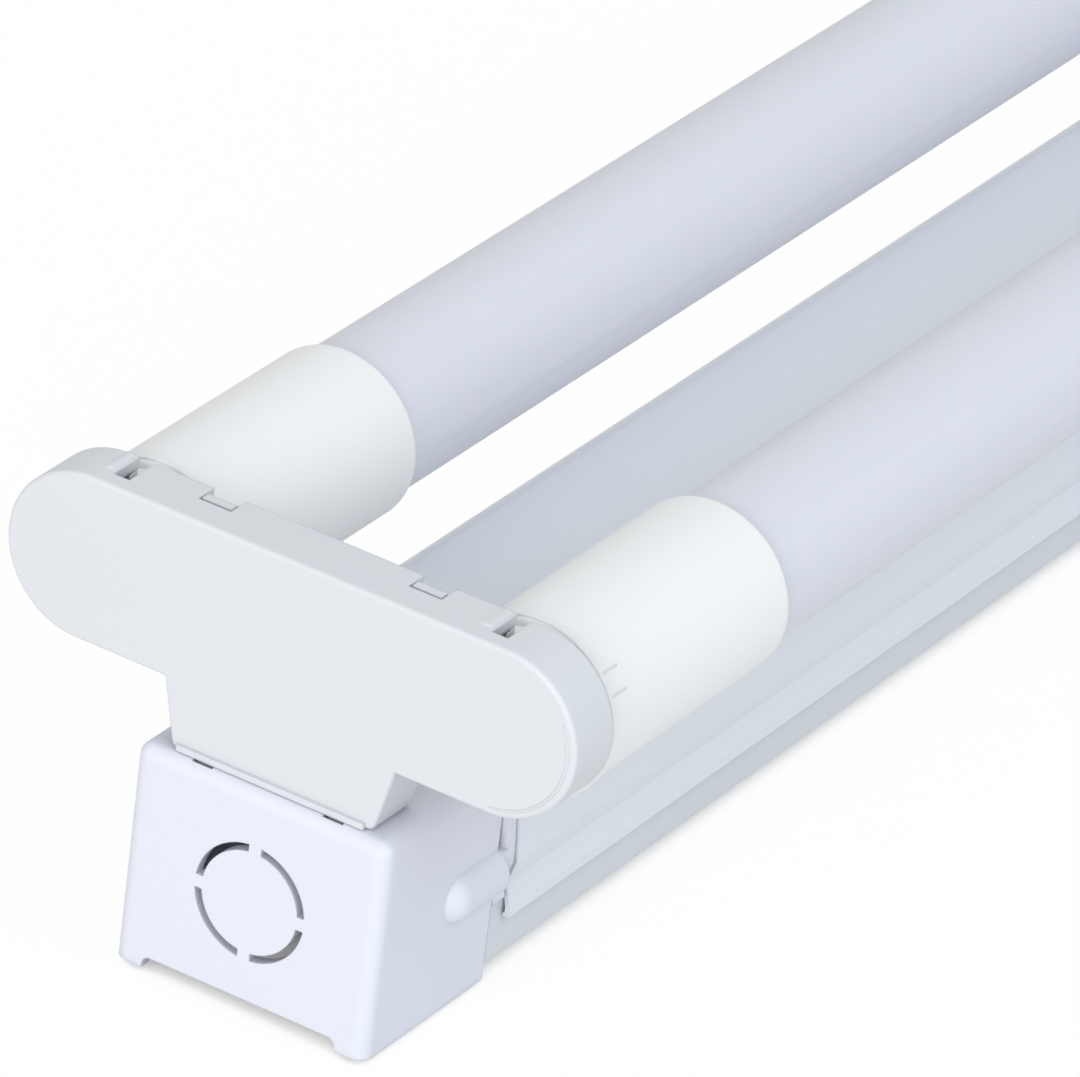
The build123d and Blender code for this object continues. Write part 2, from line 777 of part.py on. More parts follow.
# Clamp screws: slotted heads on the inserts, with the shanks just above the wires
with BuildPart() as clamp_screws:
    with BuildSketch(Plane.XY.offset(pole_middle + wire_diameter / 2 + wire_gap)):
        with Locations(*clamp_places):
            Circle(clamp_diameter / 2)
    extrude(amount=pole_size / 2 - wire_diameter / 2 - wire_gap)
    with BuildSketch(Plane.XY.offset(pole_top)):
        with Locations(*clamp_places):
            Circle(clamp_head / 2)
    extrude(amount=clamp_head_height)
    with BuildSketch(Plane.XY.offset(pole_top + clamp_head_height)):
        with Locations(*clamp_places):
            Rectangle(clamp_head, clamp_slot)
    extrude(amount=-clamp_slot_depth, mode=Mode.SUBTRACT)
save(clamp_screws, "clamp_screws")

# Fixing screw of the terminal block, down through the tray's floor
with BuildPart() as terminal_screw:
    with BuildSketch(Plane.XY.offset(tray_height - screw_tail)):
        with Locations((fix_place, -terminal_station)):
            Circle(fix_diameter / 2)
    extrude(amount=screw_tail + sheet + terminal_height)
    with BuildSketch(Plane.XY.offset(terminal_top)):
        with Locations((fix_place, -terminal_station)):
            Circle(fix_head_diameter / 2)
    extrude(amount=fix_head_height)
    fillet(terminal_screw.edges().group_by(Axis.Z)[-1], fix_head_height / 2)
save(terminal_screw, "terminal_screw")

# Earth tag on the tray's floor, and the screw through it
tag_top = floor_top + earth_tag_thickness
with BuildPart() as earth_tag:
    with BuildSketch(Plane.XY.offset(floor_top)):
        with Locations((earth_place, -earth_station)):
            Circle(earth_tag_radius)
            Rectangle(
                earth_tail_width,
                earth_tag_radius + earth_tag_tail,
                align=(Align.CENTER, Align.MAX),
            )
            Circle(earth_screw_diameter / 2 + screw_fit, mode=Mode.SUBTRACT)
    extrude(amount=earth_tag_thickness)
save(earth_tag, "earth_tag")

with BuildPart() as earth_screw:
    with BuildSketch(Plane.XY.offset(tray_height - screw_tail)):
        with Locations((earth_place, -earth_station)):
            Circle(earth_screw_diameter / 2)
    extrude(amount=screw_tail + sheet + earth_tag_thickness)
    with BuildSketch(Plane.XY.offset(tag_top)):
        with Locations((earth_place, -earth_station)):
            Circle(earth_head_diameter / 2)
    extrude(amount=earth_head_height)
    fillet(earth_screw.edges().group_by(Axis.Z)[-1], earth_head_height / 2)
save(earth_screw, "earth_screw")

# Wires: single cores held at both ends, in straight runs joined by arcs
live_x, earth_x, neutral_x = pole_places
riser = holder_inside - strip_thickness - wire_gap - wire_diameter / 2
riser_top = neck_foot + holder_wall + tail_foot + wire_lap
tag_wire_z = tag_top + wire_gap + wire_diameter / 2
earth_turn = earth_station + earth_tag_radius + earth_tag_tail
earth_leave = (terminal_far + earth_turn) / 2
routes = {
    "live_wire": (
        wire_bend,
        (live_x, -terminal_near + wire_entry, pole_middle),
        (live_x, -box_back, pole_middle),
        (0, -riser, wire_rise),
        (0, -riser, riser_top),
    ),
    "neutral_wire": (
        wire_bend,
        (neutral_x, -terminal_far - wire_entry, pole_middle),
        (neutral_x, box_back, pole_middle),
        (0, riser, wire_rise),
        (0, riser, riser_top),
    ),
    "earth_wire": (
        earth_bend,
        (earth_x, -terminal_far - wire_entry, pole_middle),
        (earth_x, -earth_leave, pole_middle),
        (earth_place, -earth_turn + wire_entry, tag_wire_z),
        (earth_place, -earth_station - earth_tag_radius, tag_wire_z),
    ),
}
for name, (bend, *points) in routes.items():
    with BuildPart() as wire:
        with BuildLine() as route:
            FilletPolyline(*points, radius=bend)
        with BuildSketch(Plane(origin=route.line @ 0, z_dir=route.line % 0)):
            Circle(wire_diameter / 2)
        sweep(path=route.line)
    save(wire, name)
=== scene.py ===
"""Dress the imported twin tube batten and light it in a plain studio.

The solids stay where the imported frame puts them. This file gives each of them a finish made of
shader nodes, adds the fine moulded detail that the solids leave out, and sets up a pale floor, soft
light and the photograph's camera. Lengths are in metres, in the frame of the solids.
"""
import logging
import math
from dataclasses import dataclass, field
from enum import Enum
from typing import Any

import bmesh
import bpy
from mathutils import Matrix, Vector


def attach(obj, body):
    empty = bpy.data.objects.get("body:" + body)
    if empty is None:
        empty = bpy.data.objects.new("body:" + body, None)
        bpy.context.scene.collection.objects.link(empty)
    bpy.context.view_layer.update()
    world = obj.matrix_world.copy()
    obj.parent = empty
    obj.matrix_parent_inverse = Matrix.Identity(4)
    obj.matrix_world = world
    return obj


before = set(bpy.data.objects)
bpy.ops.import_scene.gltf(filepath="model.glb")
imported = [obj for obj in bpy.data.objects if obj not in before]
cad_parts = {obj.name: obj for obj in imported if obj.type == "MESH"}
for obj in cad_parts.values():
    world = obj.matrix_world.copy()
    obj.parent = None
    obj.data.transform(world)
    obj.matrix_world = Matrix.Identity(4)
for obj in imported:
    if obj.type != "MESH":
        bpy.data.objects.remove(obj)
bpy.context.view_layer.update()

Colour = tuple[float, float, float]
Point = tuple[float, float, float]
Span = tuple[float, float]
Spine = list[tuple[Vector, Vector]]

MM = 0.001
RISING: Span = (0.0, 1.0)
FALLING: Span = (1.0, 0.0)
WHITE: Colour = (1.0, 1.0, 1.0)
LOG = logging.getLogger("batten")


class Body(Enum):
    """The bodies of the fixture that pieces made here ride on."""

    FIXTURE = "fixture"


class Side(Enum):
    """The two tubes, by the side they lie on seen from the near end."""

    LEFT = "left"
    RIGHT = "right"


class End(Enum):
    """The two ends of the fixture. The near end is at minus Y."""

    NEAR = "near"
    FAR = "far"

    @property
    def turn(self) -> Matrix:
        """The half turn about Z that carries a near piece to this end."""
        return Matrix.Rotation(0.0 if self is End.NEAR else math.pi, 4, "Z")


class NodeCanvas:
    """A node tree with short calls for adding and joining nodes."""

    def __init__(self, tree: bpy.types.NodeTree) -> None:
        """Keep the tree that nodes are added to.

        Args:
            tree: The node tree of a group, a material or the world.
        """
        self.tree = tree

    def add(self, kind: str, values: dict[str, Any] | None = None, **settings: Any) -> bpy.types.Node:
        """Add a node.

        Args:
            kind: The node's type name in Blender.
            values: Input values by socket name.
            **settings: Attributes of the node, set before its values.

        Returns:
            The new node.
        """
        node = self.tree.nodes.new(kind)
        for name, setting in settings.items():
            setattr(node, name, setting)
        for name, value in (values or {}).items():
            node.inputs[name].default_value = value
        return node

    def join(self, source: bpy.types.NodeSocket, target: bpy.types.NodeSocket) -> None:
        """Link an output to an input."""
        self.tree.links.new(source, target)

    def blend(
        self,
        first: bpy.types.NodeSocket | Colour,
        second: bpy.types.NodeSocket | Colour,
        mask: bpy.types.NodeSocket,
    ) -> bpy.types.NodeSocket:
        """Mix two colours by a mask.

        Args:
            first: The colour, or socket, where the mask is 0.
            second: The colour, or socket, where the mask is 1.
            mask: The value that goes from 0 to 1 over the surface.

        Returns:
            The mixed colour's socket.
        """
        mix = self.add("ShaderNodeMix", data_type="RGBA")
        self.join(mask, mix.inputs[0])
        for socket, colour in ((mix.inputs[6], first), (mix.inputs[7], second)):
            if isinstance(colour, tuple):
                socket.default_value = (*colour, 1.0)
            else:
                self.join(colour, socket)
        return mix.outputs[2]

    def combine(
        self, operation: str, first: bpy.types.NodeSocket, second: bpy.types.NodeSocket
    ) -> bpy.types.NodeSocket:
        """Work out a value from two others.

        Args:
            operation: The operation's name in Blender's Math node.
            first: The first value's socket.
            second: The second value's socket.

        Returns:
            The result's socket.
        """
        result = self.add("ShaderNodeMath", operation=operation)
        self.join(first, result.inputs[0])
        self.join(second, result.inputs[1])
        return result.outputs[0]

    def remap(self, value: bpy.types.NodeSocket, span: Span, onto: Span) -> bpy.types.NodeSocket:
        """Map a value from one span onto another, clamped.

        Args:
            value: The socket to map.
            span: The two ends of what comes in.
            onto: The two ends of what goes out.

        Returns:
            The mapped value's socket.
        """
        ranged = self.add("ShaderNodeMapRange")
        self.join(value, ranged.inputs["Value"])
        for name, number in zip(("From Min", "From Max", "To Min", "To Max"), (*span, *onto)):
            ranged.inputs[name].default_value = number
        return ranged.outputs["Result"]


class GroupCanvas(NodeCanvas):
    """A shader node group with named inputs and outputs."""

    def __init__(self, name: str, inputs: dict[str, float | Colour], outputs: dict[str, str]) -> None:
        """Make the group and its sockets.

        Args:
            name: The group's name.
            inputs: Default value of each input; a tuple makes a colour input.
            outputs: Socket type of each output.
        """
        super().__init__(bpy.data.node_groups.new(name, "ShaderNodeTree"))
        for label, value in inputs.items():
            is_colour = isinstance(value, tuple)
            kind = "NodeSocketColor" if is_colour else "NodeSocketFloat"
            socket = self.tree.interface.new_socket(label, in_out="INPUT", socket_type=kind)
            socket.default_value = (*value, 1.0) if is_colour else value
        for label, kind in outputs.items():
            self.tree.interface.new_socket(label, in_out="OUTPUT", socket_type=kind)
        self.entry = self.add("NodeGroupInput")
        self.exit = self.add("NodeGroupOutput")

    def give(self, source: bpy.types.NodeSocket, output: str) -> None:
        """Link a socket to one of the group's outputs."""
        self.join(source, self.exit.inputs[output])


class SharedEffects:
    """The surface effects that several finishes use, each built once as a node group."""

    COLOUR = "NodeSocketColor"
    VALUE = "NodeSocketFloat"
    NORMAL = "NodeSocketVector"
    CLOUD_SPAN: Span = (0.32, 0.68)
    GRAIN_SPAN: Span = (0.3, 0.7)
    OPEN_SPAN: Span = (0.35, 0.95)
    EDGE_SPAN: Span = (0.80, 0.995)
    LINE_SPAN: Span = (0.38, 0.62)
    CREVICE_SAMPLES = 6
    EDGE_SAMPLES = 4

    def __init__(self) -> None:
        """Build every group."""
        self.skin = self._moulded_skin()
        self.crevice = self._crevice_shade()
        self.edge = self._softened_edge()
        self.flow = self._drawn_line()

    def _moulded_skin(self) -> bpy.types.NodeTree:
        """Build slow colour clouds, a fine grain and the roughness that follows it.

        Returns:
            The group's tree.
        """
        group = GroupCanvas(
            "moulded skin",
            {
                "Colour": (0.8, 0.8, 0.8),
                "Cloud Colour": (0.75, 0.75, 0.75),
                "Cloud Scale": 30.0,
                "Grain Scale": 2500.0,
                "Rough Low": 0.4,
                "Rough High": 0.5,
            },
            {"Colour": self.COLOUR, "Roughness": self.VALUE, "Height": self.VALUE},
        )
        place = group.add("ShaderNodeTexCoord")
        cloud = group.add("ShaderNodeTexNoise", {"Detail": 2.0, "Roughness": 0.5})
        group.join(place.outputs["Object"], cloud.inputs["Vector"])
        group.join(group.entry.outputs["Cloud Scale"], cloud.inputs["Scale"])
        cloud_mask = group.remap(cloud.outputs[0], self.CLOUD_SPAN, RISING)
        tint = group.blend(group.entry.outputs["Colour"], group.entry.outputs["Cloud Colour"], cloud_mask)
        grain = group.add("ShaderNodeTexNoise", {"Detail": 3.0, "Roughness": 0.6})
        group.join(place.outputs["Object"], grain.inputs["Vector"])
        group.join(group.entry.outputs["Grain Scale"], grain.inputs["Scale"])
        least, most = self.GRAIN_SPAN
        rough = group.add("ShaderNodeMapRange", {"From Min": least, "From Max": most})
        group.join(grain.outputs[0], rough.inputs["Value"])
        group.join(group.entry.outputs["Rough Low"], rough.inputs["To Min"])
        group.join(group.entry.outputs["Rough High"], rough.inputs["To Max"])
        group.give(tint, "Colour")
        group.give(rough.outputs["Result"], "Roughness")
        group.give(grain.outputs[0], "Height")
        return group.tree

    def _crevice_shade(self) -> bpy.types.NodeTree:
        """Build a mask of corners and gaps, for painted shade where light fails.

        Returns:
            The group's tree.
        """
        group = GroupCanvas("crevice shade", {"Reach": 0.004, "Strength": 0.5}, {"Mask": self.VALUE})
        hollow = group.add("ShaderNodeAmbientOcclusion", samples=self.CREVICE_SAMPLES)
        group.join(group.entry.outputs["Reach"], hollow.inputs["Distance"])
        # painted shade: the mask grows as ambient occlusion closes in
        shut = group.remap(hollow.outputs["AO"], self.OPEN_SPAN, FALLING)
        group.give(group.combine("MULTIPLY", shut, group.entry.outputs["Strength"]), "Mask")
        return group.tree

    def _softened_edge(self) -> bpy.types.NodeTree:
        """Build a mask of the outer edges, which most finishes use for painted highlights, and the normal
        that rounds them.

        Returns:
            The group's tree.
        """
        group = GroupCanvas(
            "softened edge",
            {"Radius": 0.0004, "Strength": 1.0},
            {"Mask": self.VALUE, "Normal": self.NORMAL},
        )
        rounded = group.add("ShaderNodeBevel", samples=self.EDGE_SAMPLES)
        group.join(group.entry.outputs["Radius"], rounded.inputs["Radius"])
        faces = group.add("ShaderNodeNewGeometry")
        agree = group.add("ShaderNodeVectorMath", operation="DOT_PRODUCT")
        group.join(rounded.outputs["Normal"], agree.inputs[0])
        group.join(faces.outputs["Normal"], agree.inputs[1])
        turned = group.remap(agree.outputs["Value"], self.EDGE_SPAN, FALLING)
        group.give(group.combine("MULTIPLY", turned, group.entry.outputs["Strength"]), "Mask")
        group.give(rounded.outputs["Normal"], "Normal")
        return group.tree

    def _drawn_line(self) -> bpy.types.NodeTree:
        """Build faint lines along Y, as rolling, drawing or extruding leaves them.

        Returns:
            The group's tree.
        """
        group = GroupCanvas(
            "drawn line", {"Across": 900.0, "Along": 6.0}, {"Mask": self.VALUE, "Height": self.VALUE}
        )
        place = group.add("ShaderNodeTexCoord")
        stretch = group.add("ShaderNodeCombineXYZ")
        for axis, label in (("X", "Across"), ("Y", "Along"), ("Z", "Across")):
            group.join(group.entry.outputs[label], stretch.inputs[axis])
        scaled = group.add("ShaderNodeVectorMath", operation="MULTIPLY")
        group.join(place.outputs["Object"], scaled.inputs[0])
        group.join(stretch.outputs[0], scaled.inputs[1])
        lines = group.add("ShaderNodeTexNoise", {"Scale": 1.0, "Detail": 2.0, "Roughness": 0.55})
        group.join(scaled.outputs[0], lines.inputs["Vector"])
        group.give(group.remap(lines.outputs[0], self.LINE_SPAN, RISING), "Mask")
        group.give(lines.outputs[0], "Height")
        return group.tree


class MaterialCanvas(NodeCanvas):
    """A material with one Principled shader and the shared effects at hand."""

    def __init__(self, name: str, effects: SharedEffects) -> None:
        """Make an empty material.

        Args:
            name: The material's name.
            effects: The shared node groups.
        """
        self.material = bpy.data.materials.new(name)
        self.material.use_nodes = True
        super().__init__(self.material.node_tree)
        self.effects = effects
        self.shader = self.tree.nodes["Principled BSDF"]

    def place(self, group: bpy.types.NodeTree, values: dict[str, Any]) -> bpy.types.Node:
        """Place a shared effect with this material's own values.

        Args:
            group: The effect's node group.
            values: Input values by socket name; a tuple of three is a colour.

        Returns:
            The group node.
        """
        node = self.add("ShaderNodeGroup", node_tree=group)
        for label, value in values.items():
            node.inputs[label].default_value = (*value, 1.0) if isinstance(value, tuple) else value
        return node

    def place_skin(
        self, colour: Colour, cloud: Colour, cloud_scale: float, grain_scale: float, rough: Span
    ) -> bpy.types.Node:
        """Place the moulded skin and let its grain set the shader's roughness.

        Args:
            colour: The main colour.
            cloud: The colour that drifts in slow clouds.
            cloud_scale: The scale of the clouds.
            grain_scale: The scale of the grain.
            rough: The least and the most roughness.

        Returns:
            The group node.
        """
        skin = self.place(
            self.effects.skin,
            {
                "Colour": colour,
                "Cloud Colour": cloud,
                "Cloud Scale": cloud_scale,
                "Grain Scale": grain_scale,
                "Rough Low": rough[0],
                "Rough High": rough[1],
            },
        )
        self.join(skin.outputs["Roughness"], self.shader.inputs["Roughness"])
        return skin

    def set(self, **values: float) -> None:
        """Set plain numbers on the shader's own sockets, with underscores for spaces."""
        for name, value in values.items():
            self.shader.inputs[name.replace("_", " ")].default_value = value

    def raise_surface(
        self,
        height: bpy.types.NodeSocket,
        strength: float,
        depth: float,
        normal: bpy.types.NodeSocket | None = None,
    ) -> None:
        """Feed a height to the shader's normal through a bump.

        Args:
            height: The height's socket.
            strength: How strong the bump is.
            depth: The depth of the relief in metres.
            normal: A normal to start from, such as the one that rounds edges.
        """
        bump = self.add("ShaderNodeBump", {"Strength": strength, "Distance": depth})
        self.join(height, bump.inputs["Height"])
        if normal is not None:
            self.join(normal, bump.inputs["Normal"])
        self.join(bump.outputs["Normal"], self.shader.inputs["Normal"])


@dataclass(frozen=True)
class MouldedPlastic:
    """Injection-moulded plastic with a fine spark-eroded grain."""

    name: str
    colour: Colour
    cloud: Colour
    # shade is the colour of the painted shade in corners and gaps
    shade: Colour
    rough: Span = (0.42, 0.54)
    cloud_scale: float = 26.0
    grain_scale: float = 3200.0
    grain_depth: float = 0.00004
    grain_strength: float = 0.10
    edge_highlight_colour: Colour = (0.93, 0.935, 0.95)
    edge_radius: float = 0.00035
    painted_edge_highlight: float = 0.30
    crevice_reach: float = 0.003
    crevice: float = 0.35
    gloss: float = 0.45

    def build(self, effects: SharedEffects) -> bpy.types.Material:
        """Make the material.

        Args:
            effects: The shared node groups.

        Returns:
            The finished material.
        """
        canvas = MaterialCanvas(self.name, effects)
        skin = canvas.place_skin(self.colour, self.cloud, self.cloud_scale, self.grain_scale, self.rough)
        edge = canvas.place(effects.edge, {"Radius": self.edge_radius, "Strength": self.painted_edge_highlight})
        gap = canvas.place(effects.crevice, {"Reach": self.crevice_reach, "Strength": self.crevice})
        # painted highlight: outer edges lighten towards the highlight colour
        edge_highlighted = canvas.blend(skin.outputs["Colour"], self.edge_highlight_colour, edge.outputs["Mask"])
        # painted shade: the colour darkens towards the shade colour in corners and gaps
        tint = canvas.blend(edge_highlighted, self.shade, gap.outputs["Mask"])
        canvas.join(tint, canvas.shader.inputs["Base Color"])
        canvas.raise_surface(
            skin.outputs["Height"], self.grain_strength, self.grain_depth, edge.outputs["Normal"]
        )
        canvas.set(Specular_IOR_Level=self.gloss)
        return canvas.material


@dataclass(frozen=True)
class PaintedSteel:
    """Folded sheet steel under a satin powder coat, with a faint orange peel."""

    name: str
    colour: Colour
    cloud: Colour
    # shade is the colour of the painted shade in corners, gaps and creases
    shade: Colour
    rough: Span = (0.30, 0.40)
    cloud_scale: float = 9.0
    peel_scale: float = 750.0
    peel_depth: float = 0.00006
    peel_strength: float = 0.12
    roll_colour: Colour = (0.80, 0.825, 0.855)
    roll_share: float = 0.10
    roll_across: float = 420.0
    roll_along: float = 2.5
    edge_highlight_colour: Colour = (0.90, 0.92, 0.93)
    edge_radius: float = 0.0003
    painted_edge_highlight: float = 0.25
    crevice_reach: float = 0.005
    crevice: float = 0.45
    coat: float = 0.15
    coat_rough: float = 0.25

    def build(self, effects: SharedEffects) -> bpy.types.Material:
        """Make the material.

        Args:
            effects: The shared node groups.

        Returns:
            The finished material.
        """
        canvas = MaterialCanvas(self.name, effects)
        skin = canvas.place_skin(self.colour, self.cloud, self.cloud_scale, self.peel_scale, self.rough)
        roll = canvas.place(effects.flow, {"Across": self.roll_across, "Along": self.roll_along})
        edge = canvas.place(effects.edge, {"Radius": self.edge_radius, "Strength": self.painted_edge_highlight})
        gap = canvas.place(effects.crevice, {"Reach": self.crevice_reach, "Strength": self.crevice})
        faint = canvas.remap(roll.outputs["Mask"], RISING, (0.0, self.roll_share))
        rolled = canvas.blend(skin.outputs["Colour"], self.roll_colour, faint)
        # painted highlight: outer edges lighten towards the highlight colour
        edge_highlighted = canvas.blend(rolled, self.edge_highlight_colour, edge.outputs["Mask"])
        # painted shade: the colour darkens towards the shade colour in corners, gaps and creases
        tint = canvas.blend(edge_highlighted, self.shade, gap.outputs["Mask"])
        canvas.join(tint, canvas.shader.inputs["Base Color"])
        canvas.raise_surface(
            skin.outputs["Height"], self.peel_strength, self.peel_depth, edge.outputs["Normal"]
        )
        canvas.set(Coat_Weight=self.coat, Coat_Roughness=self.coat_rough)
        return canvas.material


@dataclass(frozen=True)
class FrostedTube:
    """A frosted diffuser, extruded, that spreads light below its surface."""

    name: str
    colour: Colour
    cloud: Colour
    rough: Span = (0.45, 0.55)
    cloud_scale: float = 14.0
    frost_scale: float = 5200.0
    frost_depth: float = 0.00003
    frost_strength: float = 0.08
    streak_share: float = 0.14
    streak_colour: Colour = (0.84, 0.85, 0.895)
    streak_across: float = 260.0
    streak_along: float = 1.2
    scatter: float = 0.2
    scatter_reach: float = 0.002
    gloss: float = 0.3

    def build(self, effects: SharedEffects) -> bpy.types.Material:
        """Make the material.

        Args:
            effects: The shared node groups.

        Returns:
            The finished material.
        """
        canvas = MaterialCanvas(self.name, effects)
        skin = canvas.place_skin(self.colour, self.cloud, self.cloud_scale, self.frost_scale, self.rough)
        streak = canvas.place(effects.flow, {"Across": self.streak_across, "Along": self.streak_along})
        faint = canvas.remap(streak.outputs["Mask"], RISING, (0.0, self.streak_share))
        tint = canvas.blend(skin.outputs["Colour"], self.streak_colour, faint)
        canvas.join(tint, canvas.shader.inputs["Base Color"])
        canvas.raise_surface(skin.outputs["Height"], self.frost_strength, self.frost_depth)
        canvas.set(Subsurface_Weight=self.scatter, Subsurface_Scale=self.scatter_reach)
        canvas.set(Specular_IOR_Level=self.gloss)
        return canvas.material


@dataclass(frozen=True)
class BareMetal:
    """Plated or bare metal with the lines of its drawing or rolling."""

    name: str
    colour: Colour
    # dull is the colour of the painted shade in corners and gaps
    dull: Colour
    rough: Span = (0.22, 0.38)
    line_across: float = 2400.0
    line_along: float = 120.0
    line_depth: float = 0.00003
    line_strength: float = 0.15
    edge_radius: float = 0.0002
    painted_edge_highlight: float = 0.4
    edge_shine: float = 1.15
    crevice_reach: float = 0.002
    crevice: float = 0.6

    def build(self, effects: SharedEffects) -> bpy.types.Material:
        """Make the material.

        Args:
            effects: The shared node groups.

        Returns:
            The finished material.
        """
        canvas = MaterialCanvas(self.name, effects)
        drawn = canvas.place(effects.flow, {"Across": self.line_across, "Along": self.line_along})
        gap = canvas.place(effects.crevice, {"Reach": self.crevice_reach, "Strength": self.crevice})
        edge = canvas.place(effects.edge, {"Radius": self.edge_radius, "Strength": self.painted_edge_highlight})
        # painted shade: darker towards the dull colour in corners and gaps
        gap_shaded = canvas.blend(self.colour, self.dull, gap.outputs["Mask"])
        # painted highlight: outer edges brighten to a shine
        shine = tuple(min(1.0, self.edge_shine * part) for part in self.colour)
        bright = canvas.blend(gap_shaded, shine, edge.outputs["Mask"])
        canvas.join(bright, canvas.shader.inputs["Base Color"])
        rough = canvas.remap(drawn.outputs["Mask"], RISING, self.rough)
        canvas.join(rough, canvas.shader.inputs["Roughness"])
        canvas.raise_surface(
            drawn.outputs["Height"], self.line_strength, self.line_depth, edge.outputs["Normal"]
        )
        canvas.set(Metallic=1.0)
        return canvas.material


@dataclass(frozen=True)
class CircuitBoard:
    """Solder mask over copper tracks, seen as a slightly raised grid."""

    name: str
    mask: Colour
    track: Colour
    track_pitch: float = 0.0022
    track_share: float = 0.1
    run_pitches: float = 3.0
    rough: Span = (0.38, 0.28)
    relief_depth: float = 0.00004
    relief_strength: float = 0.3
    crevice_reach: float = 0.002
    crevice: float = 0.4
    crevice_dark: float = 0.5

    def build(self, effects: SharedEffects) -> bpy.types.Material:
        """Make the material.

        Args:
            effects: The shared node groups.

        Returns:
            The finished material.
        """
        canvas = MaterialCanvas(self.name, effects)
        place = canvas.add("ShaderNodeTexCoord")
        bricks = canvas.add(
            "ShaderNodeTexBrick",
            {
                "Color1": (*self.mask, 1.0),
                "Color2": (*self.mask, 1.0),
                "Mortar": (*self.track, 1.0),
                "Scale": 1.0,
                "Mortar Size": self.track_pitch * self.track_share,
                "Brick Width": self.track_pitch * self.run_pitches,
                "Row Height": self.track_pitch,
            },
        )
        canvas.join(place.outputs["Object"], bricks.inputs["Vector"])
        gap = canvas.place(effects.crevice, {"Reach": self.crevice_reach, "Strength": self.crevice})
        # painted shade: the board darkens in corners and gaps
        dark = tuple(self.crevice_dark * part for part in self.mask)
        tint = canvas.blend(bricks.outputs["Color"], dark, gap.outputs["Mask"])
        canvas.join(tint, canvas.shader.inputs["Base Color"])
        rough = canvas.remap(bricks.outputs["Fac"], RISING, self.rough)
        canvas.join(rough, canvas.shader.inputs["Roughness"])
        canvas.raise_surface(bricks.outputs["Fac"], self.relief_strength, self.relief_depth)
        return canvas.material


@dataclass(frozen=True)
class PhosphorPackage:
    """An LED package: phosphor on the face that looks up, white plastic round it."""

    name: str
    phosphor: Colour
    wall: Colour
    facing: Span = (0.7, 0.9)
    wall_width: float = 0.0005
    wall_share: float = 1.0
    rough: Span = (0.5, 0.2)

    def build(self, effects: SharedEffects) -> bpy.types.Material:
        """Make the material.

        Args:
            effects: The shared node groups.

        Returns:
            The finished material.
        """
        canvas = MaterialCanvas(self.name, effects)
        faces = canvas.add("ShaderNodeNewGeometry")
        split = canvas.add("ShaderNodeSeparateXYZ")
        canvas.join(faces.outputs["Normal"], split.inputs[0])
        upward = canvas.remap(split.outputs["Z"], self.facing, RISING)
        edge = canvas.place(effects.edge, {"Radius": self.wall_width, "Strength": self.wall_share})
        face = canvas.blend(self.phosphor, self.wall, edge.outputs["Mask"])
        canvas.join(canvas.blend(self.wall, face, upward), canvas.shader.inputs["Base Color"])
        canvas.join(canvas.remap(upward, RISING, self.rough), canvas.shader.inputs["Roughness"])
        return canvas.material


@dataclass(frozen=True)
class CableSheath:
    """The insulation of a single core, with a stripe where the code asks for one."""

    name: str
    colour: Colour
    stripe: Colour
    stripe_edge: Span = (0.55, 0.65)
    cloud_share: float = 0.85
    cloud_scale: float = 60.0
    grain_scale: float = 1800.0
    grain_depth: float = 0.00004
    grain_strength: float = 0.1
    rough: Span = (0.38, 0.5)

    def build(self, effects: SharedEffects) -> bpy.types.Material:
        """Make the material.

        Args:
            effects: The shared node groups.

        Returns:
            The finished material.
        """
        canvas = MaterialCanvas(self.name, effects)
        place = canvas.add("ShaderNodeTexCoord")
        split = canvas.add("ShaderNodeSeparateXYZ")
        canvas.join(place.outputs["Normal"], split.inputs[0])
        band = canvas.remap(split.outputs["Z"], self.stripe_edge, RISING)
        cloud = tuple(self.cloud_share * part for part in self.colour)
        skin = canvas.place_skin(self.colour, cloud, self.cloud_scale, self.grain_scale, self.rough)
        tint = canvas.blend(skin.outputs["Colour"], self.stripe, band)
        canvas.join(tint, canvas.shader.inputs["Base Color"])
        canvas.raise_surface(skin.outputs["Height"], self.grain_strength, self.grain_depth)
        return canvas.material


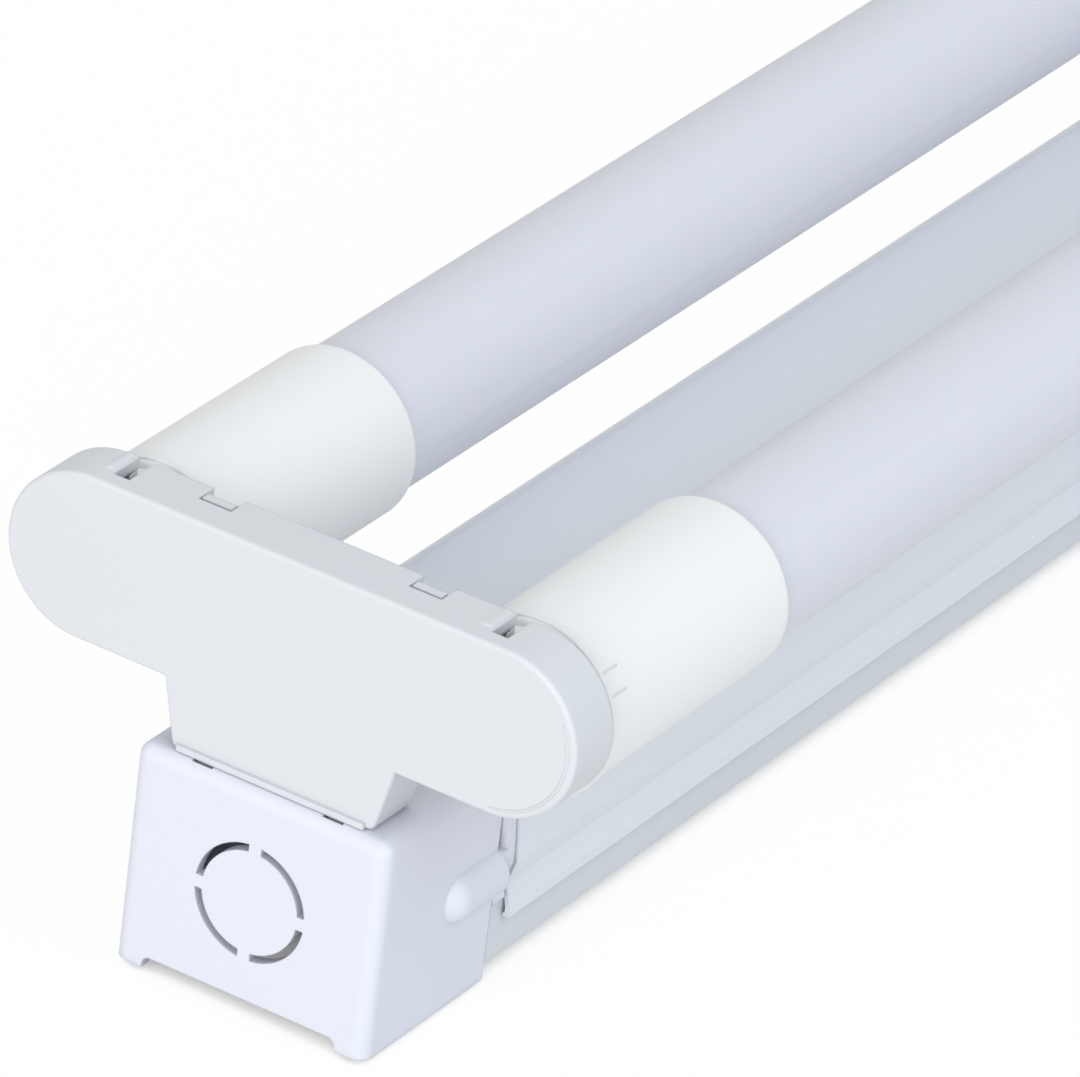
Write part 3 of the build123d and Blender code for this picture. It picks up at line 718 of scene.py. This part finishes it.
class Finishes:
    """Every finish of the fixture, made once and named for what it covers."""

    def __init__(self, effects: SharedEffects) -> None:
        """Build the materials.

        Args:
            effects: The shared node groups.
        """
        self.steel = PaintedSteel(
            "white powder coat", (0.812, 0.838, 0.868), (0.80, 0.827, 0.86), (0.42, 0.46, 0.53)
        ).build(effects)
        # painted shade: the tray's darker copy of the cover's paint stands in for the shade under the
        # cover's overhang
        self.tray = PaintedSteel(
            "shade_darkened powder coat", (0.69, 0.715, 0.74), (0.677, 0.703, 0.73), (0.38, 0.41, 0.45)
        ).build(effects)
        self.box = MouldedPlastic(
            "end box moulding", (0.79, 0.802, 0.87), (0.78, 0.793, 0.864), (0.46, 0.47, 0.53)
        ).build(effects)
        self.holder = MouldedPlastic(
            "lampholder moulding", (0.747, 0.757, 0.776), (0.737, 0.748, 0.77), (0.46, 0.47, 0.50)
        ).build(effects)
        self.cap = MouldedPlastic(
            "tube cap moulding",
            (0.965, 0.955, 0.94),
            (0.955, 0.948, 0.935),
            (0.60, 0.59, 0.58),
            rough=(0.48, 0.58),
        ).build(effects)
        self.tube = FrostedTube("frosted diffuser", (0.79, 0.785, 0.84), (0.78, 0.776, 0.834)).build(effects)
        self.pin = BareMetal("plated pin", (0.74, 0.72, 0.68), (0.42, 0.40, 0.36)).build(effects)
        self.brass = BareMetal("contact brass", (0.80, 0.62, 0.30), (0.42, 0.30, 0.14)).build(effects)
        self.zinc = BareMetal("zinc plate", (0.66, 0.67, 0.69), (0.36, 0.37, 0.38)).build(effects)
        self.led_board = CircuitBoard("white board", (0.86, 0.87, 0.87), (0.78, 0.79, 0.80)).build(effects)
        self.driver = CircuitBoard("driver board", (0.09, 0.26, 0.14), (0.16, 0.38, 0.22)).build(effects)
        self.led = PhosphorPackage("phosphor package", (0.90, 0.74, 0.20), (0.88, 0.88, 0.86)).build(effects)
        self.terminal = MouldedPlastic(
            "terminal moulding", (0.84, 0.84, 0.81), (0.82, 0.82, 0.79), (0.45, 0.45, 0.42)
        ).build(effects)
        self.live = CableSheath("brown core", (0.20, 0.09, 0.04), (0.20, 0.09, 0.04)).build(effects)
        self.neutral = CableSheath("blue core", (0.03, 0.10, 0.42), (0.03, 0.10, 0.42)).build(effects)
        self.earth = CableSheath("green core", (0.08, 0.36, 0.07), (0.78, 0.66, 0.06)).build(effects)


def dress(node: str, material: bpy.types.Material) -> None:
    """Give a solid of the frame its finish.

    Args:
        node: The node's name.
        material: The finish.
    """
    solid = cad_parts[node]
    solid.data.materials.clear()
    solid.data.materials.append(material)
    LOG.info("dressed %s in %s", node, material.name)


def make_piece(
    name: str, shape: bmesh.types.BMesh, material: bpy.types.Material, smooth: bool
) -> bpy.types.Object:
    """Turn a finished shape into an object of the scene.

    Args:
        name: The piece's name.
        shape: The shape, freed afterwards.
        material: The finish.
        smooth: Whether its faces are shaded smooth.

    Returns:
        The new object.
    """
    bmesh.ops.recalc_face_normals(shape, faces=shape.faces)
    mesh = bpy.data.meshes.new(name)
    shape.to_mesh(mesh)
    shape.free()
    for face in mesh.polygons:
        face.use_smooth = smooth
    mesh.materials.append(material)
    piece = bpy.data.objects.new(name, mesh)
    bpy.context.scene.collection.objects.link(piece)
    return piece


@dataclass(frozen=True)
class Bead:
    """A fine rounded strip that follows a path in a plane of constant Y."""

    half_across: float
    half_proud: float
    sides: int = 12
    end_size: float = 0.02
    end_power: float = 0.35

    def lay(self, shape: bmesh.types.BMesh, spine: Spine, turn: Matrix) -> None:
        """Add the strip to a shape, with both of its ends tapered.

        Args:
            shape: The shape that gets the strip.
            spine: The points of the path, each with the direction out of the outline there.
            turn: The turn that carries the strip to its end of the fixture.
        """
        last = len(spine) - 1
        rings = []
        for step, (middle, out) in enumerate(spine):
            taper = max(self.end_size, math.sin(math.pi * step / last)) ** self.end_power
            ring = []
            for corner in range(self.sides):
                around = 2.0 * math.pi * corner / self.sides
                across = self.half_across * taper * math.cos(around) * out
                proud = Vector((0.0, -self.half_proud * taper * math.sin(around), 0.0))
                ring.append(shape.verts.new(turn @ (middle + across + proud)))
            rings.append(ring)
        for first, second in zip(rings, rings[1:]):
            for corner in range(self.sides):
                following = (corner + 1) % self.sides
                shape.faces.new((first[corner], first[following], second[following], second[corner]))
        shape.faces.new(rings[0])
        shape.faces.new(rings[-1])


@dataclass
class Channel:
    """The folded steel body: the tray on the mounting face and the cover over it."""

    def dress(self, finishes: Finishes) -> None:
        """Paint the cover, and the tray in a darker copy of its coat, which paints in the shade below the
        cover's overhang.
        """
        dress("channel_cover", finishes.steel)
        dress("base_tray", finishes.tray)


@dataclass
class EndBox:
    """One moulded end box."""

    end: End

    def dress(self, finishes: Finishes) -> None:
        """Give the box its moulded finish."""
        dress(f"end_box_{self.end.value}", finishes.box)


@dataclass
class Lampholder:
    """One T-shaped lampholder with its back plate, sockets and contact strip."""

    end: End
    face: float = 305.0 * MM
    wing_x: float = 36.8 * MM
    wing_z: float = 63.3 * MM
    bead_radius: float = 12.4 * MM
    bead_low: float = math.radians(-88.0)
    bead_high: float = math.radians(28.0)
    bead_steps: int = 72
    bead: Bead = Bead(0.28 * MM, 0.28 * MM)

    def build_bead(self, finishes: Finishes) -> bpy.types.Object:
        """Make the fine bead that follows the round end of the outer face.

        Args:
            finishes: The fixture's finishes.

        Returns:
            The bead.
        """
        middle = Vector((self.wing_x, -self.face, self.wing_z))
        spine = []
        for step in range(self.bead_steps + 1):
            angle = self.bead_low + (self.bead_high - self.bead_low) * step / self.bead_steps
            out = Vector((math.cos(angle), 0.0, math.sin(angle)))
            spine.append((middle + self.bead_radius * out, out))
        shape = bmesh.new()
        self.bead.lay(shape, spine, self.end.turn)
        piece = make_piece(f"holder_bead_{self.end.value}", shape, finishes.holder, True)
        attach(piece, Body.FIXTURE.value)
        return piece

    def dress(self, finishes: Finishes) -> None:
        """Give the mouldings and the contact strip their finishes.

        Args:
            finishes: The fixture's finishes.
        """
        end = self.end.value
        for node in (f"holder_shell_{end}", f"holder_plate_{end}"):
            dress(node, finishes.holder)
        for side in Side:
            dress(f"rotor_{side.value}_{end}", finishes.holder)
        dress(f"contact_strip_{end}", finishes.brass)


@dataclass
class TubeLamp:
    """One LED tube: the frosted diffuser, its caps and pins, and what is inside."""

    side: Side

    def dress(self, finishes: Finishes) -> None:
        """Give every solid of the tube its finish.

        Args:
            finishes: The fixture's finishes.
        """
        side = self.side.value
        dress(f"{side}_diffuser", finishes.tube)
        dress(f"{side}_led_board", finishes.led_board)
        dress(f"{side}_leds", finishes.led)
        dress(f"{side}_driver", finishes.driver)
        for end in End:
            dress(f"{side}_end_cap_{end.value}", finishes.cap)
            dress(f"{side}_pins_{end.value}", finishes.pin)


@dataclass
class Wiring:
    """The terminal block, the earth point and the cores inside the channel."""

    def dress(self, finishes: Finishes) -> None:
        """Give every solid of the wiring its finish.

        Args:
            finishes: The fixture's finishes.
        """
        dress("terminal_block", finishes.terminal)
        dress("terminal_inserts", finishes.brass)
        for node in ("clamp_screws", "terminal_screw", "earth_screw", "earth_tag"):
            dress(node, finishes.zinc)
        dress("live_wire", finishes.live)
        dress("neutral_wire", finishes.neutral)
        dress("earth_wire", finishes.earth)


@dataclass(frozen=True)
class SoftPanel:
    """A soft box: a large area lamp that the camera doesn't see."""

    name: str
    place: Point
    aim: Point
    width: float
    height: float
    power: float
    colour: Colour = WHITE

    def build(self) -> bpy.types.Object:
        """Make the lamp and point it.

        Returns:
            The lamp's object.
        """
        lamp = bpy.data.lights.new(self.name, "AREA")
        lamp.shape = "RECTANGLE"
        lamp.size = self.width
        lamp.size_y = self.height
        lamp.energy = self.power
        lamp.color = self.colour
        panel = bpy.data.objects.new(self.name, lamp)
        panel.location = self.place
        toward = Vector(self.aim) - Vector(self.place)
        panel.rotation_euler = toward.to_track_quat("-Z", "Y").to_euler()
        panel.visible_camera = False
        bpy.context.scene.collection.objects.link(panel)
        return panel


@dataclass
class Studio:
    """The pale floor, the sky that fills the shade and the soft panels."""

    floor_half: float = 14.0
    floor_squares: int = 8
    floor_colour: Colour = (0.74, 0.745, 0.75)
    floor_glow: float = 0.94
    floor_white: float = 1.02
    dark_reach: float = 0.05
    dark_open: float = 0.35
    dark_samples: int = 8
    sky_colour: Colour = (0.97, 0.985, 1.0)
    sky_strength: float = 0.555
    panels: tuple[SoftPanel, ...] = field(
        default_factory=lambda: (
            SoftPanel("front panel", (0.7, -3.3, 0.85), (0.0, -0.2, 0.05), 2.6, 2.0, 58.0),
            SoftPanel("side panel", (1.92, -0.6, 2.22), (0.0, 0.0, 0.05), 2.4, 1.6, 24.0, (0.74, 0.88, 1.0)),
            SoftPanel("top panel", (-0.3, 0.3, 3.2), (0.0, 0.0, 0.05), 2.4, 2.4, 5.0),
        )
    )

    def _seen(self, canvas: NodeCanvas) -> bpy.types.NodeSocket:
        """Give 1 for rays that show the stage itself, seen directly, mirrored or through glass.

        Args:
            canvas: The tree that the nodes go in.

        Returns:
            The socket that holds that value.
        """
        path = canvas.add("ShaderNodeLightPath")
        direct = canvas.combine("MAXIMUM", path.outputs["Is Camera Ray"], path.outputs["Is Glossy Ray"])
        return canvas.combine("MAXIMUM", direct, path.outputs["Is Transmission Ray"])

    def build_floor(self) -> bpy.types.Object:
        """Make the floor, which is white to the eye and keeps the shadow. Its glow fades where the object
        closes it in, a painted contact shadow.

        Returns:
            The floor.
        """
        shape = bmesh.new()
        squares = self.floor_squares
        bmesh.ops.create_grid(shape, x_segments=squares, y_segments=squares, size=self.floor_half)
        material = bpy.data.materials.new("pale floor")
        material.use_nodes = True
        canvas = NodeCanvas(material.node_tree)
        surface = canvas.tree.nodes["Principled BSDF"]
        surface.inputs["Base Color"].default_value = (*self.floor_colour, 1.0)
        surface.inputs["Roughness"].default_value = 1.0
        surface.inputs["Specular IOR Level"].default_value = 0.0
        glow = canvas.add("ShaderNodeEmission", {"Color": (*WHITE, 1.0), "Strength": self.floor_white})
        # painted contact shadow: the floor's glow fades where ambient occlusion is high, under and beside
        # the object
        hollow = canvas.add(
            "ShaderNodeAmbientOcclusion", {"Distance": self.dark_reach}, samples=self.dark_samples
        )
        unshut = canvas.remap(hollow.outputs["AO"], (0.0, self.dark_open), (0.0, self.floor_glow))
        lit = canvas.add("ShaderNodeMixShader")
        canvas.join(canvas.combine("MULTIPLY", self._seen(canvas), unshut), lit.inputs[0])
        canvas.join(surface.outputs[0], lit.inputs[1])
        canvas.join(glow.outputs[0], lit.inputs[2])
        faces = canvas.add("ShaderNodeNewGeometry")
        clear = canvas.add("ShaderNodeBsdfTransparent")
        shown = canvas.add("ShaderNodeMixShader")
        canvas.join(faces.outputs["Backfacing"], shown.inputs[0])
        canvas.join(lit.outputs[0], shown.inputs[1])
        canvas.join(clear.outputs[0], shown.inputs[2])
        canvas.join(shown.outputs[0], canvas.tree.nodes["Material Output"].inputs["Surface"])
        floor = make_piece("floor", shape, material, False)
        return floor

    def build_sky(self) -> bpy.types.World:
        """Make the world: an even, slightly cool fill, white where the camera sees it.

        Returns:
            The world.
        """
        world = bpy.data.worlds.new("studio")
        world.use_nodes = True
        canvas = NodeCanvas(world.node_tree)
        fill = canvas.tree.nodes["Background"]
        fill.inputs["Color"].default_value = (*self.sky_colour, 1.0)
        fill.inputs["Strength"].default_value = self.sky_strength
        white = canvas.add("ShaderNodeBackground", {"Color": (*WHITE, 1.0), "Strength": 1.0})
        mix = canvas.add("ShaderNodeMixShader")
        canvas.join(self._seen(canvas), mix.inputs[0])
        canvas.join(fill.outputs[0], mix.inputs[1])
        canvas.join(white.outputs[0], mix.inputs[2])
        canvas.join(mix.outputs[0], canvas.tree.nodes["World Output"].inputs["Surface"])
        bpy.context.scene.world = world
        return world

    def build(self) -> None:
        """Set up the floor, the sky and the panels."""
        self.build_floor()
        self.build_sky()
        for panel in self.panels:
            panel.build()
            LOG.info("placed %s", panel.name)
        bpy.context.scene.view_settings.view_transform = "Standard"


@dataclass(frozen=True)
class StudioCamera:
    """The photograph's camera, from its place and the directions of its picture."""

    place: Point = (0.74729, -1.56519, 0.89641)
    right: Point = (0.83524, 0.53872, 0.11031)
    down: Point = (0.3449, -0.35699, -0.8681)
    forward: Point = (-0.42828, 0.76312, -0.48397)
    lens: float = 381.54
    sensor: float = 36.0
    nearest: float = 0.05
    furthest: float = 60.0

    def build(self) -> bpy.types.Object:
        """Make the camera and look through it.

        Returns:
            The camera's object.
        """
        lens = bpy.data.cameras.new("photograph camera")
        lens.lens = self.lens
        lens.sensor_width = self.sensor
        lens.clip_start = self.nearest
        lens.clip_end = self.furthest
        camera = bpy.data.objects.new("photograph camera", lens)
        columns = (Vector(self.right), -Vector(self.down), -Vector(self.forward), Vector(self.place))
        matrix = Matrix.Identity(4)
        for index, column in enumerate(columns):
            for row in range(3):
                matrix[row][index] = column[row]
        camera.matrix_world = matrix
        bpy.context.scene.collection.objects.link(camera)
        bpy.context.scene.camera = camera
        return camera


def main() -> None:
    """Build the fixture's pieces in order, then the studio and the camera."""
    logging.basicConfig(level=logging.INFO, format="%(name)s: %(message)s")
    finishes = Finishes(SharedEffects())
    Channel().dress(finishes)
    for end in End:
        EndBox(end).dress(finishes)
        holder = Lampholder(end)
        holder.dress(finishes)
        LOG.info("made %s", holder.build_bead(finishes).name)
    for side in Side:
        TubeLamp(side).dress(finishes)
    Wiring().dress(finishes)
    Studio().build()
    StudioCamera().build()


if __name__ == "__main__":
    main()
